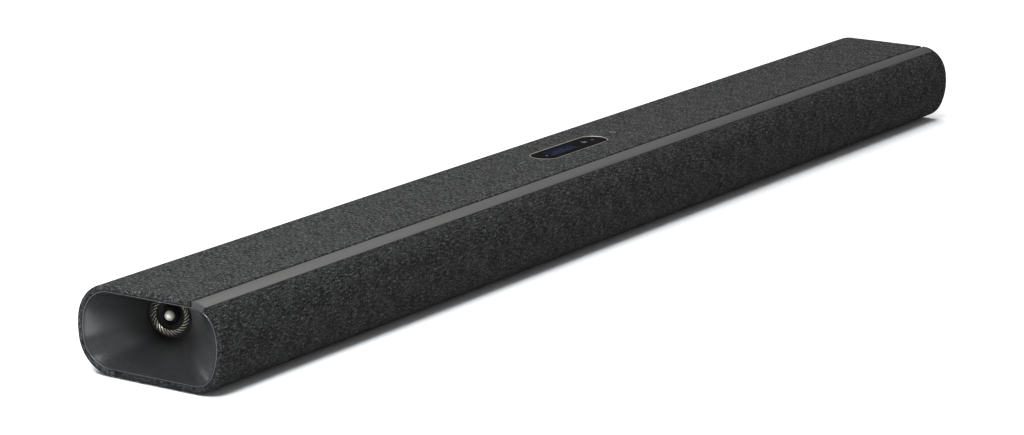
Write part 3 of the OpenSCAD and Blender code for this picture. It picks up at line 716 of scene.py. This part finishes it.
def make_horn(side):
    """Smooth flare from a lip that follows the section to the round throat."""
    name = "left" if side < 0 else "right"
    place = throat_place(-1)
    count = 144
    full = outline()

    def mouth(inset):
        return even_ring([(y - ny * inset, z - nz * inset) for y, z, ny, nz in full], count)

    lip = mouth(LIP_INSET + 0.75)
    centre = (sum(p[0] for p in lip) / count, sum(p[1] for p in lip) / count)
    angles = [math.atan2((z - centre[1]) / FLARE_REACH_Z, (y - centre[0]) / FLARE_REACH_Y) for y, z in lip]

    def circle(radius, out):
        return [place((-radius * math.cos(a), radius * math.sin(a), out)) for a in angles]

    throat = circle(THROAT_R, 0.0)
    rings = []
    for inset, depth in ((LIP_INSET + 0.1, 3.0), (LIP_INSET, 0.6), (LIP_INSET + 0.12, 0.28),
                         (LIP_INSET + 0.4, 0.15), (LIP_INSET + 0.68, 0.3)):
        rings.append([(-END_X + depth, y, z) for y, z in mouth(inset)])
    steps = 34
    start_x = -END_X + 0.6
    for i in range(steps + 1):
        d = i / steps
        w = 1 - (1 - d) ** FLARE_POWER
        ring = []
        for (y, z), t in zip(lip, throat):
            x = start_x + (t[0] - start_x) * d
            ring.append((x, y + (t[1] - y) * w, z + (t[2] - z) * w))
        rings.append(ring)
    rings += [circle(THROAT_R, -COLLAR_DEPTH), circle(THROAT_R + COLLAR_WALL, -COLLAR_DEPTH)]
    build = Build()
    verts = [p for ring in rings for p in ring]
    if side > 0:
        verts = [(-x, y, z) for x, y, z in verts]
    build.add(verts, grid_faces(len(rings), count, close_cols=True))
    piece = new_piece(f"{name}_horn_flare", build.verts, build.faces, HORN, smooth_angle=70.0)
    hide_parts(f"{name}_horn")


def arc_blade(r0, r1, swirl, thick, low, high, turn, steps=5):
    """A thin blade that runs outwards from r0 to r1 while it swirls, with a sloping top, as loft rings."""
    lean = 0.12
    rings = []
    for i in range(steps + 1):
        f = i / steps
        r = r0 + (r1 - r0) * f
        a = turn + swirl * f
        taper = thick * (1 - 0.35 * f)
        radial = (math.cos(a), math.sin(a))
        side = (-math.sin(a), math.cos(a))
        ring = []
        for off, h in ((-1.0, 0.0), (-1.0, 0.97), (-0.85, 1.0), (0.85, 0.90), (1.0, 0.87), (1.0, 0.0)):
            o = off * taper / 2 + lean * h * (high - low) * 0.6
            ring.append((radial[0] * r + side[0] * o, radial[1] * r + side[1] * o, low + (high - low) * h))
        rings.append(ring)
    return rings


def make_tweeter(side):
    """Vaned ring, swirled dish and silver phase plug in the throat of one horn."""
    name = "left" if side < 0 else "right"
    place = throat_place(side)
    build = Build()
    edge = THROAT_R - 0.25
    build.lathe([(edge, -3.0), (edge, -1.1), (edge - 0.3, -0.9), (15.0, -1.0), (14.6, -1.2), (14.3, -1.7),
                 (13.6, -2.0), (10.4, -2.1), (9.4, -1.6), (8.9, -1.5), (7.4, -2.0), (6.0, -2.3), (5.7, -1.9),
                 (5.6, 0.0), (5.35, 0.25), (5.1, 0.0), (4.9, -1.9), (1.7, -2.8), (1.7, -3.0), (edge, -3.0)],
                place)
    blades = Build()
    vanes = 28
    for i in range(vanes):
        turn = 2 * math.pi * i / vanes
        blades.loft(arc_blade(10.6, 14.1, 0.34, 1.15, -2.1, 0.7, turn), place)
    ribs = 20
    for i in range(ribs):
        turn = 2 * math.pi * (i + 0.5) / ribs
        build.loft(arc_blade(5.4, 9.3, 0.75, 0.5, -2.3, -0.8, turn, 6), place)
    ring = new_piece(f"{name}_tweeter_vanes", build.verts, build.faces, VANE,
                     smooth_angle=35.0)
    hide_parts(f"{name}_vane_ring")
    new_piece(f"{name}_ring_blades", blades.verts, blades.faces, BLADE, smooth_angle=20.0)
    ball, centre = 3.6, 1.2
    profile = [(0.0, centre + ball)]
    for i in range(1, 25):
        a = math.radians(90 - 156 * i / 24)
        profile.append((ball * math.cos(a), centre + ball * math.sin(a)))
    profile += [(1.5, -1.6), (1.5, -2.9), (0.0, -2.9)]
    plug = Build().lathe(profile, place, segments=64)
    piece = new_piece(f"{name}_silver_plug", plug.verts, plug.faces, PLUG, smooth_angle=50.0)
    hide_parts(f"{name}_phase_plug")


# ---- Window ----

def make_window():
    """Window rim, glass, the dim display with plain bars, and generic marks."""
    def at(ring, z):
        return [(x, WINDOW_Y + y, z) for x, y in ring]

    rings = []
    for l, w, z in ((93.0, 25.0, -6.0), (93.0, 25.0, -0.12), (92.7, 24.7, 0.05), (92.1, 24.1, 0.06),
                    (91.5, 23.5, -0.22), (91.2, 23.2, -0.5), (91.2, 23.2, -2.5), (86.0, 18.0, -2.5),
                    (86.0, 18.0, -6.0)):
        rings.append(at(stadium(l, w, 28), TOP_Z + z))
    verts = [p for ring in rings for p in ring]
    faces = grid_faces(len(rings), len(rings[0]), close_cols=True, close_rows=True)
    bezel = new_piece("window_rim", verts, faces, BEZEL, smooth_angle=25.0)
    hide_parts("window_bezel")

    build = Build().loft([at(stadium(l, w, 28), TOP_Z + z) for l, w, z in (
        (91.0, 23.0, -2.4), (91.0, 23.0, -0.4), (90.7, 22.7, -0.26), (90.0, 22.0, -0.2),
        (80.0, 12.0, -0.16))])
    lens = new_piece("window_glass", build.verts, build.faces, LENS, smooth_angle=30.0)
    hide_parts("window_lens")

    z = TOP_Z - 0.16
    area = Build()
    glow = Build().block((-11.0, WINDOW_Y + 0.5, z - 0.03), (37.0, 13.5, 0.08), 0.02)
    new_piece("display_area", glow.verts, glow.faces, DISPLAY, smooth_angle=15.0)
    for i, high in enumerate((3.2, 5.0, 7.4, 6.0, 8.6, 4.4)):
        area.block((-27.0 + 4.6 * i, WINDOW_Y - 4.3 + high / 2, z), (3.0, high, 0.1), 0.04)
    area.block((2.0, WINDOW_Y + 1.5, z), (7.0, 1.4, 0.1), 0.04)
    area.block((2.0, WINDOW_Y - 2.2, z), (7.0, 1.4, 0.1), 0.04)
    new_piece("display_bars", area.verts, area.faces, DISPLAY_BAR, smooth_angle=15.0)

    marks = Build()
    turns = [2 * math.pi * i / 24 for i in range(24)]
    marks.loft([[(-33.5 + r * math.cos(a), WINDOW_Y - 1.0 + r * math.sin(a), z + h) for a in turns]
                for r, h in ((1.1, -0.05), (1.1, 0.04), (0.9, 0.06))])
    marks.block((22.7, WINDOW_Y + 0.4, z), (4.6, 3.0, 0.1), 0.04)
    marks.block((22.7, WINDOW_Y + 3.0, z), (2.4, 0.8, 0.1), 0.04)
    marks.block((33.0, WINDOW_Y - 0.3, z), (0.8, 2.8, 0.1), 0.04)
    marks.block((33.0, WINDOW_Y - 0.3, z), (2.8, 0.8, 0.1), 0.04)
    new_piece("window_marks", marks.verts, marks.faces, MARK, smooth_angle=15.0)


def make_buttons():
    """Caps of the two volume keys, a minus and a plus, each riding on its own body."""
    for name, body in (("volume_down_button", "volume_down"), ("volume_up_button", "volume_up")):
        low, high = node_box(name)
        cx, cy = 0.5 * (low[0] + high[0]), 0.5 * (low[1] + high[1])
        top = high[2]
        build = Build()
        for turned in ((False, True) if name == "volume_up_button" else (False,)):
            rings = []
            for l, w, z in ((7.0, 1.8, -5.3), (7.0, 1.8, -0.45), (6.8, 1.6, -0.15), (6.3, 1.1, 0.0)):
                ring = stadium(l, w, 10)
                rings.append([((cx - y) if turned else (cx + x), (cy + x) if turned else (cy + y), top + z)
                              for x, y in ring])
            build.loft(rings)
        build.lathe([(0.0, -6.15), (1.4, -6.15), (1.4, -5.55), (4.2, -5.55), (4.3, -5.45), (4.3, -4.8),
                     (4.2, -4.75), (0.0, -4.75)], lambda v: (cx + v[0], cy + v[1], top + v[2]), 40)
        piece = new_piece(name + "_cap", build.verts, build.faces, BUTTON, body, 30.0)
        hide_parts(name)


# ---- Rear ----

def make_socket_details():
    """Contact tongues of the HDMI and USB sockets, and the spring contacts of the network socket."""
    low, high = node_box("hdmi_sockets")
    mid_z = 0.5 * (low[2] + high[2])
    tongues = Build()
    for x in (low[0] + 7.7, high[0] - 7.7):
        tongues.block((x, high[1] - 6.2, mid_z + 0.3), (11.6, 7.2, 1.3), 0.2)
    low, high = node_box("usb_socket")
    centre = (0.5 * (low[0] + high[0]), high[1] - 7.2, 0.5 * (low[2] + high[2]) + 1.1)
    tongues.block(centre, (11.0, 9.4, 1.6), 0.2)
    low, high = node_box("ethernet_socket")
    mid_x, mid_z = 0.5 * (low[0] + high[0]), 0.5 * (low[2] + high[2])
    rings = [[(mid_x + x, y, mid_z + h) for x, h in rounded_rectangle(w, d, 0.3)] for w, d, y in (
        (11.9, 8.1, high[1] - 0.4), (11.2, 7.4, high[1] - 0.4), (11.2, 7.4, high[1] - 10.5),
        (0.5, 0.5, high[1] - 10.6), (0.5, 0.5, high[1] - 11.3), (11.9, 8.1, high[1] - 11.3))]
    verts = [p for ring in rings for p in ring]
    tongues.add(verts, grid_faces(len(rings), len(rings[0]), close_cols=True, close_rows=True))
    new_piece("socket_tongues", tongues.verts, tongues.faces, BLACK, smooth_angle=20.0)
    contacts = Build()
    low, high = node_box("ethernet_socket")
    mid = 0.5 * (low[0] + high[0])
    for i in range(8):
        centre = (mid + (i - 3.5) * 1.02, high[1] - 7.0, 0.5 * (low[2] + high[2]) + 3.3)
        contacts.block(centre, (0.4, 7.5, 0.4), 0.1)
    new_piece("network_contacts", contacts.verts, contacts.faces, BRASS)


# ---- Stage, light and camera ----

CAMERA_AZIMUTH = -56.06
CAMERA_ELEVATION = 14.04
CAMERA_PLACE = (-2.2404, -1.4501, 0.6759)
CAMERA_LENS = 122.6


def make_stage():
    """Pale floor and an even white world."""
    mesh = bpy.data.meshes.new("floor")
    reach = 6.0
    corners = [(-reach, -reach, 0), (reach, -reach, 0), (reach, reach, 0), (-reach, reach, 0)]
    mesh.from_pydata(corners, [], [(0, 1, 2, 3)])
    floor = bpy.data.objects.new("floor", mesh)
    bpy.context.scene.collection.objects.link(floor)
    m = Nodes("pale_floor", 0.8, Specular_IOR_Level=0.1)
    m.colour(m.ramp(m.noise((3.0,) * 3), (0.3, (0.74, 0.74, 0.74)), (0.7, (0.77, 0.77, 0.77))))
    mesh.materials.append(m.material)
    world = bpy.data.worlds.new("studio")
    world.use_nodes = True
    world.node_tree.nodes["Background"].inputs["Color"].default_value = (1.0, 1.0, 1.0, 1.0)
    world.node_tree.nodes["Background"].inputs["Strength"].default_value = 0.34
    bpy.context.scene.world = world
    bpy.context.scene.view_settings.view_transform = "Standard"


def area_light(name, place, target, size, power, colour=(1.0, 1.0, 1.0)):
    data = bpy.data.lights.new(name, "AREA")
    data.shape = "RECTANGLE"
    data.size, data.size_y = size
    data.energy = power
    data.color = colour
    light = bpy.data.objects.new(name, data)
    bpy.context.scene.collection.objects.link(light)
    back = (Vector(place) - Vector(target)).normalized()
    light.matrix_world = Matrix.Translation(place) @ back.to_track_quat("Z", "Y").to_matrix().to_4x4()


def make_camera():
    az, el = math.radians(CAMERA_AZIMUTH), math.radians(CAMERA_ELEVATION)
    back = Vector((math.sin(az) * math.cos(el), -math.cos(az) * math.cos(el), math.sin(el)))
    right = Vector((math.cos(az), math.sin(az), 0.0))
    up = back.cross(right)
    data = bpy.data.cameras.new("camera")
    data.lens = CAMERA_LENS
    data.sensor_width = 36.0
    data.sensor_fit = "HORIZONTAL"
    camera = bpy.data.objects.new("camera", data)
    rotation = Matrix((right, up, back)).transposed().to_4x4()
    camera.matrix_world = Matrix.Translation(CAMERA_PLACE) @ rotation
    bpy.context.scene.collection.objects.link(camera)
    bpy.context.scene.camera = camera


make_camera()
make_stage()
area_light("overhead_softbox", (0.0, 0.3, 2.4), (0, 0.0, 0), (3.6, 2.4), 122.0)
area_light("end_softbox", (-1.6, -0.35, 1.35), (-0.5, 0, 0.03), (0.45, 0.45), 40.0, (0.90, 0.96, 1.0))
area_light("low_softbox", (-2.3, 0.1, 0.35), (-0.5, 0, 0.03), (0.9, 0.5), 8.0, (0.95, 0.98, 1.0))
area_light("key_softbox", (-1.6, -1.8, 1.1), (-0.5, 0, 0.03), (0.5, 0.5), 1.5)
paint_cad_nodes()
make_fabrics()
make_trim()
for SIDE in (-1, 1):
    make_horn(SIDE)
    make_tweeter(SIDE)
make_window()
make_buttons()
make_socket_details()
